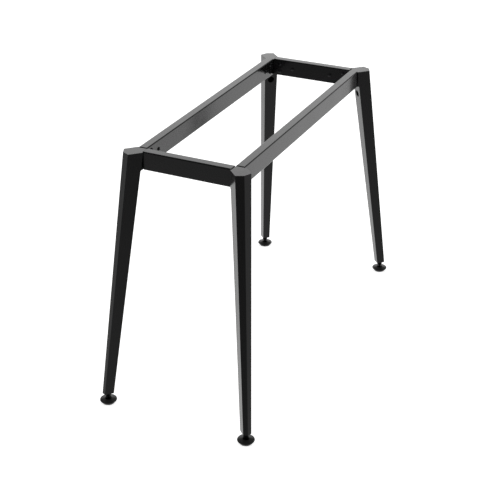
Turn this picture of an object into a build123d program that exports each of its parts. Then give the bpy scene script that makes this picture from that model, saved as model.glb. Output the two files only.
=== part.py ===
from build123d import *
import os
from math import cos, radians, sin, tan

# Frame in millimetres: X along the long rails, Y along the short ones, Z up from the floor
frame_l = 820.0
frame_w = 300.0
frame_h = 725.0

# Rails of rectangular steel tube
rail_h = 50.0
rail_w = 25.0
rail_wall = 2.0
rail_edge_r = 3.0
rail_proud = 1.5  # rail top above the leg head, and rail bottom below it
rail_gap = 2.0  # open joint between a rail's end and the leg head

# Button-head screws at each rail end: two that hold it on its spigot and a third in its own wall
screw_d = 6.0
screw_l = 10.0
screw_head_d = 10.5
screw_head_h = 3.3
screw_rim_h = 0.8
screw_flat_d = 5.5
screw_socket_af = 4.0
screw_socket_depth = 2.0
screw_in = 47.0  # from the frame's outer corner
screw_rise = 12.0  # above and below the rail's middle
long_third_in = 83.0  # third screw on a long rail, from the frame's outer corner
short_third_in = 89.0

# Cast legs, set diagonally in the corners and splayed outwards
leg_clear = 31.5  # cut end of the leg above the floor
splay_x = 104.0  # foot axis outside the frame's corner
splay_y = 61.0
head_w = 42.3
head_depth = 38.8
head_out = 0.6  # middle of the head outside the frame's corner, along the diagonal
leg_end_w = 23.0
leg_end_depth = 25.5
foot_out = 1.5  # foot axis outside the middle of the leg's end
ridge_angle = 20.0  # fall of the two outer facets from the ridge
leg_wall = 3.5
leg_edge_r = 0.9
head_edge_r = 0.6  # smaller than the rounding of the long edges it runs into
throat_r = 4.0
access_d = 20.0
access_drop = 28.0  # below the rail's underside

# Spigots cast on the leg head, one for each rail
spigot_l = 36.0  # inside the rail
spigot_edge = 1.2
spigot_core_w = 8.0
spigot_core_wall = 6.0

# Levelling feet: a threaded stem with a hexagon, its neck held in the hub of a lens-shaped base
stem_d = 8.0
stem_grip = 26.0  # thread inside the leg with the foot at rest
foot_up = 3.0  # travel inwards
foot_spare = 2.0  # thread hole beyond the stem at the inner limit
hex_af = 13.0
hex_h = 8.0
hex_face_d = 11.6
hex_bevel = 30.0  # turned bevel at the hexagon's corners
neck_d = 7.0
base_d = 49.0
base_floor_d = 37.0
base_rim_h = 9.0
base_rim_r = 1.5
base_crown_h = 12.0  # where the lens meets the hub
base_crown_fall = 10.0  # slope of the lens beside the hub
hub_d = 18.0
hub_top_d = 17.0
hub_h = 15.0
hub_edge_r = 0.6
socket_h = 4.0

# Clearances
rail_fit = 0.4  # rail over spigot, all on the outer side
thread_fit = 0.05
screw_hole_fit = 0.3
hex_gap = 0.5  # hexagon under the leg's end at the inner limit

# Levels, axes and places that follow from the sizes above
rail_bottom = frame_h - rail_h
rail_mid = frame_h - rail_h / 2
head_top = frame_h - rail_proud
head_under = rail_bottom + rail_proud
shoulder = rail_w + rail_gap
outward = Vector(1, 1, 0).normalized()
across = Vector(1, -1, 0).normalized()
corner = Vector(frame_l / 2, frame_w / 2, 0)
head_axis = corner + outward * head_out
foot_axis = corner + Vector(splay_x, splay_y, 0)
leg_end_axis = foot_axis - outward * foot_out
ridge = radians(ridge_angle)
hex_top = leg_clear - foot_up - hex_gap
hex_low = hex_top - hex_h
standing = (Align.CENTER, Align.CENTER, Align.MIN)

corners = {
    "front_left": (-1, -1),
    "front_right": (1, -1),
    "back_left": (-1, 1),
    "back_right": (1, 1),
}

# Each rail: its span over the corners, its third screws from there, the frame's size across it,
# its turn about Z, its two ends
rails = {
    "front_rail": (frame_l, long_third_in, frame_w, 0, ("left", "right")),
    "back_rail": (frame_l, long_third_in, frame_w, 180, ("right", "left")),
    "right_rail": (frame_w, short_third_in, frame_l, 90, ("front", "back")),
    "left_rail": (frame_w, short_third_in, frame_l, -90, ("back", "front")),
}


def rail_place(across_size, turn):
    """From a rail's own frame (X along it, +Y to the frame's inside) to its place."""
    return Rot(0, 0, turn) * Pos(0, rail_w / 2 - across_size / 2, rail_mid)


def inner_face(x, z):
    """A place on a rail's inner face, with Z pointing to the frame's inside."""
    return Pos(x, rail_w / 2, z) * Rot(-90, 0, 0)


def rail(span, third_in):
    """A tube with two clear screw holes and one tapped hole in its inner wall at each end."""
    bore_r = max(rail_edge_r - rail_wall, 0.5)
    skin = RectangleRounded(rail_w, rail_h, rail_edge_r)
    bore = RectangleRounded(rail_w - 2 * rail_wall, rail_h - 2 * rail_wall, bore_r)
    tube = Plane.YZ * extrude(skin - bore, (span - 2 * shoulder) / 2, both=True)
    through = 3 * rail_wall
    clear_hole = Cylinder(screw_d / 2 + screw_hole_fit, through)
    tapped_hole = Cylinder(screw_d / 2 + thread_fit, through)
    for end in (-1, 1):
        tube -= inner_face(end * (span / 2 - third_in), 0) * tapped_hole
        for level in (-1, 1):
            tube -= inner_face(end * (span / 2 - screw_in), level * screw_rise) * clear_hole
    return tube


def screw():
    """A button-head screw with its head's seat on Z = 0 and its shank downwards."""
    crown = Vector(screw_flat_d / 2, screw_head_h)
    rim = Vector(screw_head_d / 2, screw_rim_h)
    outline = [
        Polyline(crown, (0, screw_head_h), (0, -screw_l), (screw_d / 2, -screw_l)),
        Polyline((screw_d / 2, -screw_l), (screw_d / 2, 0), (screw_head_d / 2, 0), rim),
        TangentArc(rim, crown, tangent=(0, 1)),
    ]
    body = revolve(Plane.XZ * make_face(outline), Axis.Z)
    socket = extrude(RegularPolygon(screw_socket_af / 2, 6, major_radius=False), -screw_socket_depth)
    return body - Pos(0, 0, screw_head_h) * socket


def rail_screws(span, third_in, end):
    """The three screws at one end of a rail, in the rail's own frame."""
    places = [inner_face(end * (span / 2 - screw_in), level * screw_rise) for level in (-1, 1)]
    places.append(inner_face(end * (span / 2 - third_in), 0))
    return [place * screw() for place in places]


def leg_outline(z, inset=0.0, reach=0.0):
    """House-shaped section of the leg at a height, shrunk by inset, drawn inwards by reach."""
    rise = (z - leg_clear) / (head_top - leg_clear)
    half = (leg_end_w + rise * (head_w - leg_end_w)) / 2 - inset
    depth = leg_end_depth + rise * (head_depth - leg_end_depth)
    centre = leg_end_axis + (head_axis - leg_end_axis) * rise + Vector(0, 0, z)
    back = inset - depth / 2 - reach
    front = depth / 2 + inset * (tan(ridge) - 1 / cos(ridge))
    tip = front + half * tan(ridge)
    plan = [(back, -half), (front, -half), (tip, 0), (front, half), (back, half)]
    return [centre + outward * u + across * w for u, w in plan]


def tapered(low, high):
    """A solid between two outlines whose edges are parallel, so that every side is flat."""
    count = len(low)
    faces = [Face(Wire.make_polygon(low)), Face(Wire.make_polygon(high))]
    for i in range(count):
        j = (i + 1) % count
        faces.append(Face(Wire.make_polygon([low[i], low[j], high[j], high[i]])))
    return Solid(Shell(faces))


def spigot():
    """Cored block for the long rail, from inside the head to its free end."""
    high = rail_h - 2 * rail_wall - rail_fit
    wide = rail_w - 2 * rail_wall - rail_fit
    length = spigot_l + rail_gap
    inner_y = corner.Y - rail_w + rail_wall
    block = Box(length + rail_w / 2, wide, high)
    block = chamfer(block.edges().filter_by(Axis.X), spigot_edge)
    core = Box(spigot_l, spigot_core_w, high - 2 * spigot_core_wall)
    tip_x = -(length + rail_w / 2) / 2
    block -= Pos(tip_x + spigot_l / 2, 0, 0) * core
    root_x = corner.X - rail_w - length
    return Pos(root_x - tip_x, inner_y + wide / 2, rail_mid) * block


def swap_axes(shape):
    """The same piece for the short rail: mirrored about the corner's own diagonal."""
    diagonal = Plane(origin=corner, z_dir=across)
    return mirror(shape, about=diagonal)


def screw_taps():
    """Tapped holes in the long rail's spigot, from its inner side to its middle."""
    depth = (rail_w - 2 * rail_wall - rail_fit) / 2
    tap = Rot(90, 0, 0) * Cylinder(screw_d / 2 + thread_fit, depth)
    x = corner.X - screw_in
    y = corner.Y - rail_w + rail_wall + depth / 2
    return [Pos(x, y, rail_mid + level * screw_rise) * tap for level in (-1, 1)]


def inner_middle(z):
    """Middle of the leg's inner face at a height."""
    outline = leg_outline(z)
    return (outline[0] + outline[-1]) / 2


def access_place():
    """The access hole's place on the leg's inner face, square to that face."""
    middle = inner_middle(rail_bottom - access_drop)
    slope = middle - inner_middle(leg_clear)
    return Plane(origin=middle, x_dir=across, z_dir=across.cross(slope))


def leg():
    """The back right leg: hollow casting with its head, spigots, access hole and foot thread."""
    body = tapered(leg_outline(leg_clear), leg_outline(head_top))
    room = 4 * rail_w
    block = tapered(leg_outline(head_under, reach=room), leg_outline(head_top, reach=room))
    square = Pos(corner.X - rail_w, corner.Y - rail_w, 0) * Box(
        room * 2, room * 2, frame_h, align=(Align.MIN, Align.MIN, Align.MIN)
    )
    body += block & square
    under = body.edges().filter_by_position(Axis.Z, head_under - 0.01, head_under + 0.01)
    throat = [e for e in under if abs(e.tangent_at(0.5).dot(across)) > 0.99]
    body = fillet(throat, throat_r)
    tall = [e for e in body.edges() if e.length > 0.8 * (head_under - leg_clear)]
    body = fillet(tall, leg_edge_r)
    body = fillet(body.faces().sort_by(Axis.Z)[-1].edges(), head_edge_r)
    thread_depth = stem_grip + foot_up + foot_spare
    hollow_low = leg_clear + thread_depth + 3 * leg_wall
    hollow_high = head_top - leg_wall
    body -= tapered(leg_outline(hollow_low, leg_wall), leg_outline(hollow_high, leg_wall))
    body -= access_place() * Cylinder(access_d / 2, 3 * leg_wall)
    bar = spigot()
    for tap in screw_taps():
        bar -= tap
    body += bar
    body += swap_axes(bar)
    bore = Cylinder(stem_d / 2 + thread_fit, thread_depth, align=standing)
    return body - Pos(foot_axis.X, foot_axis.Y, leg_clear) * bore


def hexagon():
    """Hexagon with turned corners, standing on Z = 0."""
    corner_r = hex_af / 2 / cos(radians(30))
    face_r = hex_face_d / 2
    fall = (corner_r - face_r) * tan(radians(hex_bevel))
    middle = hex_h / 2
    side = Polyline((0, 0), (face_r, 0), (corner_r, fall), (corner_r, middle), (0, middle), close=True)
    turned = revolve(Plane.XZ * make_face(side), Axis.Z)
    turned += mirror(turned, about=Plane.XY.offset(middle))
    return turned & extrude(RegularPolygon(hex_af / 2, 6, major_radius=False), hex_h)


def foot_stem():
    """Threaded stem with its hexagon and neck, standing in the base on the back right foot's axis."""
    shaft = Cylinder(stem_d / 2, leg_clear + stem_grip - hex_top, align=standing)
    shaft = chamfer(shaft.edges().sort_by(Axis.Z)[-1], stem_d / 8)
    neck = Cylinder(neck_d / 2, hex_low - socket_h, align=standing)
    stem = Pos(0, 0, socket_h) * neck + Pos(0, 0, hex_low) * hexagon() + Pos(0, 0, hex_top) * shaft
    return Pos(foot_axis.X, foot_axis.Y, 0) * stem


def round_edges(shape, diameter, radius):
    """Round the circular edges of one diameter."""
    circles = shape.edges().filter_by(GeomType.CIRCLE)
    return fillet([e for e in circles if abs(e.radius - diameter / 2) < 1e-3], radius)


def foot_base():
    """Lens-shaped base, cut back to a smaller floor circle, with a hub socketed for the neck."""
    socket_r = neck_d / 2 + thread_fit
    slope = radians(base_crown_fall)
    rim = Vector(base_d / 2, base_rim_h)
    crown = Vector(hub_d / 2, base_crown_h)
    outline = [
        Polyline((0, socket_h), (0, 0), (base_floor_d / 2, 0), rim),
        TangentArc(crown, rim, tangent=(cos(slope), -sin(slope))),
        Polyline(crown, (hub_top_d / 2, hub_h), (socket_r, hub_h)),
        Polyline((socket_r, hub_h), (socket_r, socket_h), (0, socket_h)),
    ]
    base = revolve(Plane.XZ * make_face(outline), Axis.Z)
    base = round_edges(base, base_d, base_rim_r)
    base = round_edges(base, hub_top_d, hub_edge_r)
    return Pos(foot_axis.X, foot_axis.Y, 0) * base


def at_corner(shape, side_x, side_y):
    """Turn a back right piece into the one for another corner."""
    if side_x < 0:
        shape = mirror(shape, about=Plane.YZ)
    if side_y < 0:
        shape = mirror(shape, about=Plane.XZ)
    return shape


nodes = {}
for name, (span, third_in, across_size, turn, ends) in rails.items():
    place = rail_place(across_size, turn)
    nodes[name] = place * rail(span, third_in)
    for end, side in zip((-1, 1), ends):
        screws = [place * one for one in rail_screws(span, third_in, end)]
        nodes[f"{name}_screws_{side}"] = Compound(screws)

for name, sides in corners.items():
    nodes[f"leg_{name}"] = at_corner(leg(), *sides)
    nodes[f"foot_stem_{name}"] = at_corner(foot_stem(), *sides)
    nodes[f"foot_base_{name}"] = at_corner(foot_base(), *sides)

os.makedirs("parts", exist_ok=True)
for name, shape in nodes.items():
    export_step(shape, f"parts/{name}.step")
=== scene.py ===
from math import cos, radians, sqrt, tan

import bpy
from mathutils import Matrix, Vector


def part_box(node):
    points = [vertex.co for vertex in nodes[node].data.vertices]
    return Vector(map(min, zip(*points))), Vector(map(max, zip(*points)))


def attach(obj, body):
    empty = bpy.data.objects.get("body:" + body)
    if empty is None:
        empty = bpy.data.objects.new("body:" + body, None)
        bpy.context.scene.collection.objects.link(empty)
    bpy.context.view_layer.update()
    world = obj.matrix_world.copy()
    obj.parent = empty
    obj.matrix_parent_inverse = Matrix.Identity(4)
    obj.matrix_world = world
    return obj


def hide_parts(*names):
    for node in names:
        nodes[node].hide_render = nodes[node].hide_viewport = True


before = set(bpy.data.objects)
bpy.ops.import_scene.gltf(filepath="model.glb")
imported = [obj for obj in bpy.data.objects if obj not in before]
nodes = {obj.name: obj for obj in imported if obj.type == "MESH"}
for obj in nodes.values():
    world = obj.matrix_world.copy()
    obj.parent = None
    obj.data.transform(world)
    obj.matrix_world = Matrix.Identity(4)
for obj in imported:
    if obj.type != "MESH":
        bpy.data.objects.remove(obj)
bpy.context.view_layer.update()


# Legs: hollow aluminium castings, one in each corner, with a head that fills the corner between
# two rails. They are powder coated black, smooth and glossy, with a faint orange peel.
corners = ("front_left", "front_right", "back_left", "back_right")
coat_colour = (0.005, 0.005, 0.0052)
coat_ior = 1.6
coat_smoothest = 0.14
coat_roughest = 0.22
coat_clouds = 14


def new_finish(name):
    """A new material, its nodes and its shader."""
    material = bpy.data.materials.new(name)
    material.use_nodes = True
    tree = material.node_tree
    return material, tree, tree.nodes["Principled BSDF"]


def noise_on_piece(tree, scale, detail):
    place = tree.nodes.new("ShaderNodeTexCoord")
    noise = tree.nodes.new("ShaderNodeTexNoise")
    noise.inputs["Scale"].default_value = scale
    noise.inputs["Detail"].default_value = detail
    tree.links.new(place.outputs["Object"], noise.inputs["Vector"])
    return noise.outputs["Fac"]


def vary_gloss(tree, noise, smoothest, roughest, noise_low=0.3, noise_high=0.7):
    """Let the roughness wander between two values as the noise does."""
    gloss = tree.nodes.new("ShaderNodeMapRange")
    gloss.inputs["From Min"].default_value = noise_low
    gloss.inputs["From Max"].default_value = noise_high
    gloss.inputs["To Min"].default_value = smoothest
    gloss.inputs["To Max"].default_value = roughest
    tree.links.new(noise, gloss.inputs["Value"])
    tree.links.new(gloss.outputs["Result"], tree.nodes["Principled BSDF"].inputs["Roughness"])


def raise_bumps(tree, noise, strength, depth):
    bump = tree.nodes.new("ShaderNodeBump")
    bump.inputs["Strength"].default_value = strength
    bump.inputs["Distance"].default_value = depth
    tree.links.new(noise, bump.inputs["Height"])
    tree.links.new(bump.outputs["Normal"], tree.nodes["Principled BSDF"].inputs["Normal"])


def gloss_paint(name, peel_size, peel_depth):
    material, tree, shader = new_finish(name)
    shader.inputs["Base Color"].default_value = (*coat_colour, 1)
    shader.inputs["IOR"].default_value = coat_ior
    clouds = noise_on_piece(tree, scale=coat_clouds, detail=4)
    vary_gloss(tree, clouds, coat_smoothest, coat_roughest)
    peel = noise_on_piece(tree, scale=1 / peel_size, detail=1)
    raise_bumps(tree, peel, strength=1, depth=peel_depth)
    return material


leg_paint = gloss_paint("leg_gloss_black", peel_size=0.003, peel_depth=0.00002)
for corner in corners:
    nodes[f"leg_{corner}"].data.materials[0] = leg_paint


# Rails: rectangular steel tubes slid over the spigots of the leg heads, in the same black coat,
# which lies a little smoother on drawn tube than on a casting.
rail_paint = gloss_paint("rail_gloss_black", peel_size=0.0025, peel_depth=0.000012)
rail_ends = {
    "front_rail": ("left", "right"),
    "back_rail": ("left", "right"),
    "left_rail": ("front", "back"),
    "right_rail": ("front", "back"),
}
for rail in rail_ends:
    nodes[rail].data.materials[0] = rail_paint


# Rail screws: button-head steel screws with a hexagon socket, three at each rail end: two through
# the inner wall into the spigot, the third in the wall itself. Blackened in an oxide bath, which
# leaves a satin skin on the steel.
def black_steel(name, colour, metal, smoothest, roughest, grain_size):
    material, tree, shader = new_finish(name)
    shader.inputs["Base Color"].default_value = (*colour, 1)
    shader.inputs["Metallic"].default_value = metal
    grain = noise_on_piece(tree, scale=1 / grain_size, detail=3)
    vary_gloss(tree, grain, smoothest, roughest)
    raise_bumps(tree, grain, strength=0.5, depth=0.00002)
    return material


screw_steel = black_steel(
    "black_oxide", colour=(0.1, 0.1, 0.105), metal=1, smoothest=0.16, roughest=0.28,
    grain_size=0.0012,
)
for rail, ends in rail_ends.items():
    for end in ends:
        nodes[f"{rail}_screws_{end}"].data.materials[0] = screw_steel


# Foot stems: turned steel with a rolled thread, a hexagon for the spanner below it and a neck that
# is held in the base. Each screws up into its leg. Zinc plated and passivated black.
stem_zinc = black_steel(
    "black_zinc", colour=(0.002, 0.002, 0.0021), metal=0, smoothest=0.45, roughest=0.6,
    grain_size=0.0015,
)
stem_zinc.node_tree.nodes["Principled BSDF"].inputs["Specular IOR Level"].default_value = 0.1
thread_r = 0.004
thread_pitch = 0.00125
thread_depth = 0.00077
round_steps = 48
hex_low = 0.020
hex_high = 0.028
hex_face_r = 0.0058
hex_bevel = radians(30)
neck_r = 0.0035
stem_low, stem_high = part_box("foot_stem_back_right")
hex_af = stem_high.y - stem_low.y
axis_x = (stem_low.x + stem_high.x) / 2
axis_y = (stem_low.y + stem_high.y) / 2


def start_round(z, radius):
    """Lay a round face on the stem's axis, ready to be drawn up."""
    bpy.ops.object.select_all(action="DESELECT")
    bpy.ops.mesh.primitive_circle_add(
        vertices=round_steps, radius=radius, fill_type="NGON", location=(axis_x, axis_y, z)
    )
    bpy.ops.object.mode_set(mode="EDIT")
    bpy.ops.mesh.select_all(action="SELECT")
    return bpy.context.object


def grow(rise, scale):
    """Draw the picked face upwards and widen or narrow its new end."""
    bpy.ops.mesh.extrude_region_move(TRANSFORM_OT_translate={"value": (0, 0, rise)})
    bpy.ops.transform.resize(value=(scale, scale, 1), center_override=(axis_x, axis_y, 0))


def finish_round():
    bpy.ops.mesh.select_all(action="SELECT")
    bpy.ops.mesh.normals_make_consistent(inside=False)
    bpy.ops.object.mode_set(mode="OBJECT")


corner_r = hex_af / 2 / cos(radians(30))
hex_fall = (corner_r - hex_face_r) * tan(hex_bevel)
hexagon = start_round(hex_low, hex_face_r)
grow(hex_fall, corner_r / hex_face_r)
grow(hex_high - hex_low - 2 * hex_fall, 1)
grow(hex_fall, hex_face_r / corner_r)
finish_round()
bpy.ops.object.select_all(action="DESELECT")
bpy.ops.mesh.primitive_cylinder_add(
    vertices=6, radius=corner_r, depth=2 * (hex_high - hex_low),
    location=(axis_x, axis_y, (hex_low + hex_high) / 2), rotation=(0, 0, radians(90)),
)
flats = bpy.context.object
cut = hexagon.modifiers.new("flats", "BOOLEAN")
cut.operation = "INTERSECT"
cut.object = flats
bpy.context.view_layer.objects.active = hexagon
bpy.ops.object.modifier_apply(modifier=cut.name)
bpy.data.objects.remove(flats)

core_r = thread_r - thread_depth
core = start_round(stem_low.z, neck_r)
grow(hex_low - stem_low.z, 1)
grow((hex_high - hex_low) / 2, core_r / neck_r)
grow(stem_high.z - (hex_low + hex_high) / 2 - thread_depth, 1)
grow(thread_depth, 1 - thread_depth / core_r)
finish_round()

ridge_r = thread_pitch / sqrt(3)
bpy.ops.object.select_all(action="DESELECT")
bpy.ops.mesh.primitive_circle_add(
    vertices=3, radius=ridge_r, location=(axis_x, axis_y, hex_high),
    rotation=(radians(90), radians(90), 0),
)
thread = bpy.context.object
bpy.ops.object.transform_apply(location=False, rotation=True, scale=False)
for edge in thread.data.edges:
    edge.select = all(thread.data.vertices[i].co.x < 0 for i in edge.vertices)
bpy.ops.object.mode_set(mode="EDIT")
bpy.ops.mesh.delete(type="EDGE")
bpy.ops.mesh.select_all(action="SELECT")
ridge_depth = 1.5 * ridge_r
squeeze = thread_depth / ridge_depth
bpy.ops.transform.resize(value=(squeeze, 1, 1), center_override=(axis_x, axis_y, hex_high))
bpy.ops.transform.translate(value=(thread_r - squeeze * ridge_r, 0, 0))
bpy.ops.object.mode_set(mode="OBJECT")
turns = thread.modifiers.new("turns", "SCREW")
turns.axis = "Z"
turns.screw_offset = thread_pitch
whole_turns = int((stem_high.z - hex_high) / thread_pitch)
turns.iterations = whole_turns - 1  # the last turn is left off for the plain tip
turns.steps = round_steps
turns.render_steps = round_steps
turns.use_merge_vertices = True
turns.merge_threshold = thread_depth / 100
bpy.ops.object.modifier_apply(modifier=turns.name)

bpy.ops.object.select_all(action="DESELECT")
for piece in (hexagon, thread, core):
    piece.select_set(True)
bpy.context.view_layer.objects.active = core
bpy.ops.object.join()
bpy.ops.object.transform_apply(location=True, rotation=True, scale=True)
bpy.ops.object.shade_smooth_by_angle(angle=radians(35))
core.data.materials.append(stem_zinc)
for corner in corners:
    low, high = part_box(f"foot_stem_{corner}")
    stem = core.copy()
    stem.data = core.data.copy()
    stem.name = f"threaded_stem_{corner}"
    stem.location = ((low.x + high.x) / 2 - axis_x, (low.y + high.y) / 2 - axis_y, 0)
    bpy.context.scene.collection.objects.link(stem)
    bpy.ops.object.select_all(action="DESELECT")
    stem.select_set(True)
    bpy.context.view_layer.objects.active = stem
    bpy.ops.object.transform_apply(location=True, rotation=False, scale=False)
    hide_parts(f"foot_stem_{corner}")
    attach(stem, f"foot_{corner}")
bpy.data.objects.remove(core)


# Foot bases: black nylon mouldings, lens-shaped, on which the frame stands. The mould leaves them
# with a fine, even sheen. Painted shade: the hub that takes the stem is coloured near black and
# given an almost mirrorless metal skin, for the shadow under the leg around the stem.
lens_colour = (0.014, 0.014, 0.014)
# Painted shade colour for the hub, in the shadow under the leg around the stem.
hub_shade_colour = (0.002, 0.002, 0.002)
hub_edge = 0.0091
hub_blend = 0.0002
nylon, tree, shader = new_finish("black_nylon")
shader.inputs["IOR"].default_value = 1.53
shader.inputs["Specular IOR Level"].default_value = 0.25

# The four feet are mirror images, so the unsigned place measures from the axis of each.
place = tree.nodes.new("ShaderNodeTexCoord")
unsigned = tree.nodes.new("ShaderNodeVectorMath")
unsigned.operation = "ABSOLUTE"
tree.links.new(place.outputs["Object"], unsigned.inputs[0])
level = tree.nodes.new("ShaderNodeVectorMath")
level.operation = "MULTIPLY"
level.inputs[1].default_value = (1, 1, 0)
tree.links.new(unsigned.outputs["Vector"], level.inputs[0])
radius = tree.nodes.new("ShaderNodeVectorMath")
radius.operation = "DISTANCE"
radius.inputs[1].default_value = (axis_x, axis_y, 0)
tree.links.new(level.outputs["Vector"], radius.inputs[0])
# Painted shade: inside the hub's edge the nylon turns near black and almost mirrorless.
hub_shade = tree.nodes.new("ShaderNodeMapRange")
hub_shade.inputs["From Min"].default_value = hub_edge - hub_blend
hub_shade.inputs["From Max"].default_value = hub_edge + hub_blend
hub_shade.inputs["To Min"].default_value = 1
hub_shade.inputs["To Max"].default_value = 0
tree.links.new(radius.outputs["Value"], hub_shade.inputs["Value"])
tint = tree.nodes.new("ShaderNodeMix")
tint.data_type = "RGBA"
tint.inputs["A"].default_value = (*lens_colour, 1)
tint.inputs["B"].default_value = (*hub_shade_colour, 1)
tree.links.new(hub_shade.outputs["Result"], tint.inputs["Factor"])
tree.links.new(tint.outputs["Result"], shader.inputs["Base Color"])
tree.links.new(hub_shade.outputs["Result"], shader.inputs["Metallic"])

skin = noise_on_piece(tree, scale=900, detail=2)
vary_gloss(tree, skin, smoothest=0.12, roughest=0.2, noise_low=0, noise_high=1)
raise_bumps(tree, skin, strength=0.4, depth=0.00003)
for corner in corners:
    nodes[f"foot_base_{corner}"].data.materials[0] = nylon


# Camera: an ordinary upright view through a long lens, which looks down at the frame from its
# front left, from well above the rails.
camera_data = bpy.data.cameras.new("photo_camera")
camera_data.sensor_width = 36
camera_data.lens = 81.397
camera = bpy.data.objects.new("photo_camera", camera_data)
camera.location = (-2.65306, -1.25183, 1.85074)
camera.rotation_euler = (radians(61.7475), radians(0.1514), radians(-64.4291))
bpy.context.scene.collection.objects.link(camera)
bpy.context.scene.camera = camera


# Floor: a plain pale sheet that the feet stand on. The camera sees it lifted nearly to white,
# still with the frame's shadow on it. Gloss mirrors the studio in its place.
floor_lift = 0.68
bpy.ops.object.select_all(action="DESELECT")
bpy.ops.mesh.primitive_plane_add(size=40, location=(0, 0, 0))
floor = bpy.context.object
floor.name = "floor"
floor.visible_glossy = False
pale_floor, tree, shader = new_finish("pale_floor")
shader.inputs["Base Color"].default_value = (0.8, 0.8, 0.8, 1)
shader.inputs["Roughness"].default_value = 0.9
shader.inputs["Emission Color"].default_value = (1, 1, 1, 1)
path = tree.nodes.new("ShaderNodeLightPath")
lift = tree.nodes.new("ShaderNodeMath")
lift.operation = "MULTIPLY"
lift.inputs[1].default_value = floor_lift
tree.links.new(path.outputs["Is Camera Ray"], lift.inputs[0])
tree.links.new(lift.outputs[0], shader.inputs["Emission Strength"])
floor.data.materials.append(pale_floor)


# World: a white studio. It lights the frame evenly, and the camera, and anything clear, sees it
# plain white. Gloss mirrors a sweep that is bright behind the frame and on the floor, and falls
# off overhead, to the sides, straight below and behind the camera.
even_light = 0.8
view_x, view_y = 0.902, 0.4316
world = bpy.data.worlds.new("studio")
bpy.context.scene.world = world
world.use_nodes = True
studio = world.node_tree
backdrop = studio.nodes["Background"]
backdrop.inputs["Color"].default_value = (1, 1, 1, 1)
direction = studio.nodes.new("ShaderNodeTexCoord")


def toward(x, y, z):
    """How far a direction of the studio leans towards another one, from -1 to 1."""
    lean = studio.nodes.new("ShaderNodeVectorMath")
    lean.operation = "DOT_PRODUCT"
    lean.inputs[1].default_value = (x, y, z)
    studio.links.new(direction.outputs["Generated"], lean.inputs[0])
    return lean.outputs["Value"]


def ramp(lean, low, high, start, end):
    """A strength that goes smoothly from start to end as the lean goes from low to high."""
    change = studio.nodes.new("ShaderNodeMapRange")
    change.interpolation_type = "SMOOTHSTEP"
    change.inputs["From Min"].default_value = low
    change.inputs["From Max"].default_value = high
    change.inputs["To Min"].default_value = start
    change.inputs["To Max"].default_value = end
    studio.links.new(lean, change.inputs["Value"])
    return change.outputs["Result"]


def combine(operation, first, second):
    both = studio.nodes.new("ShaderNodeMath")
    both.operation = operation
    studio.links.new(first, both.inputs[0])
    studio.links.new(second, both.inputs[1])
    return both.outputs[0]


def choose(factor, otherwise, chosen):
    """One of two strengths, either of them a number or a node's output."""
    mix = studio.nodes.new("ShaderNodeMix")
    mix.data_type = "FLOAT"
    studio.links.new(factor, mix.inputs["Factor"])
    for name, value in (("A", otherwise), ("B", chosen)):
        if isinstance(value, (int, float)):
            mix.inputs[name].default_value = value
        else:
            studio.links.new(value, mix.inputs[name])
    return mix.outputs["Result"]


height = toward(0, 0, 1)
right = toward(view_y, -view_x, 0)
away = ramp(toward(view_x, view_y, 0), low=-0.8, high=0.8, start=0.06, end=1.06)
overhead = ramp(height, low=0.42, high=0.6, start=1, end=0.22)
left_wing = ramp(right, low=-0.95, high=-0.45, start=0.4, end=1)
wings = ramp(combine("MULTIPLY", right, right), low=0.02, high=0.3, start=1.35, end=0.3)
above_floor = ramp(height, low=0, high=0.08, start=0, end=1)
near_floor = ramp(height, low=-0.8, high=-0.1, start=0.34, end=0)
right_floor = ramp(right, low=0.3, high=0.65, start=1, end=0.6)
straight_below = ramp(height, low=-0.92, high=-0.62, start=0.45, end=1)
sweep = combine("MULTIPLY", combine("MULTIPLY", away, overhead), left_wing)
sweep = combine("MULTIPLY", sweep, choose(above_floor, 1, wings))
sweep = combine("ADD", sweep, combine("MULTIPLY", near_floor, right_floor))
sweep = combine("MULTIPLY", sweep, straight_below)

path = studio.nodes.new("ShaderNodeLightPath")
lit = choose(path.outputs["Is Glossy Ray"], even_light, sweep)
clear = combine("MAXIMUM", path.outputs["Is Camera Ray"], path.outputs["Is Transmission Ray"])
studio.links.new(choose(clear, lit, 1), backdrop.inputs["Strength"])


# Softbox: a large soft lamp above and behind the frame, which gives it a faint shadow. Gloss
# mirrors the sweep in its place.
softbox_data = bpy.data.lights.new("softbox", "AREA")
softbox_data.shape = "RECTANGLE"
softbox_data.size = 5
softbox_data.size_y = 4
softbox_data.energy = 24
softbox = bpy.data.objects.new("softbox", softbox_data)
softbox.location = (3.4, 1.6, 3.4)
softbox.rotation_euler = (0, radians(50), radians(25.6))
softbox.visible_glossy = False
bpy.context.scene.collection.objects.link(softbox)

scene = bpy.context.scene
scene.view_settings.view_transform = "Standard"
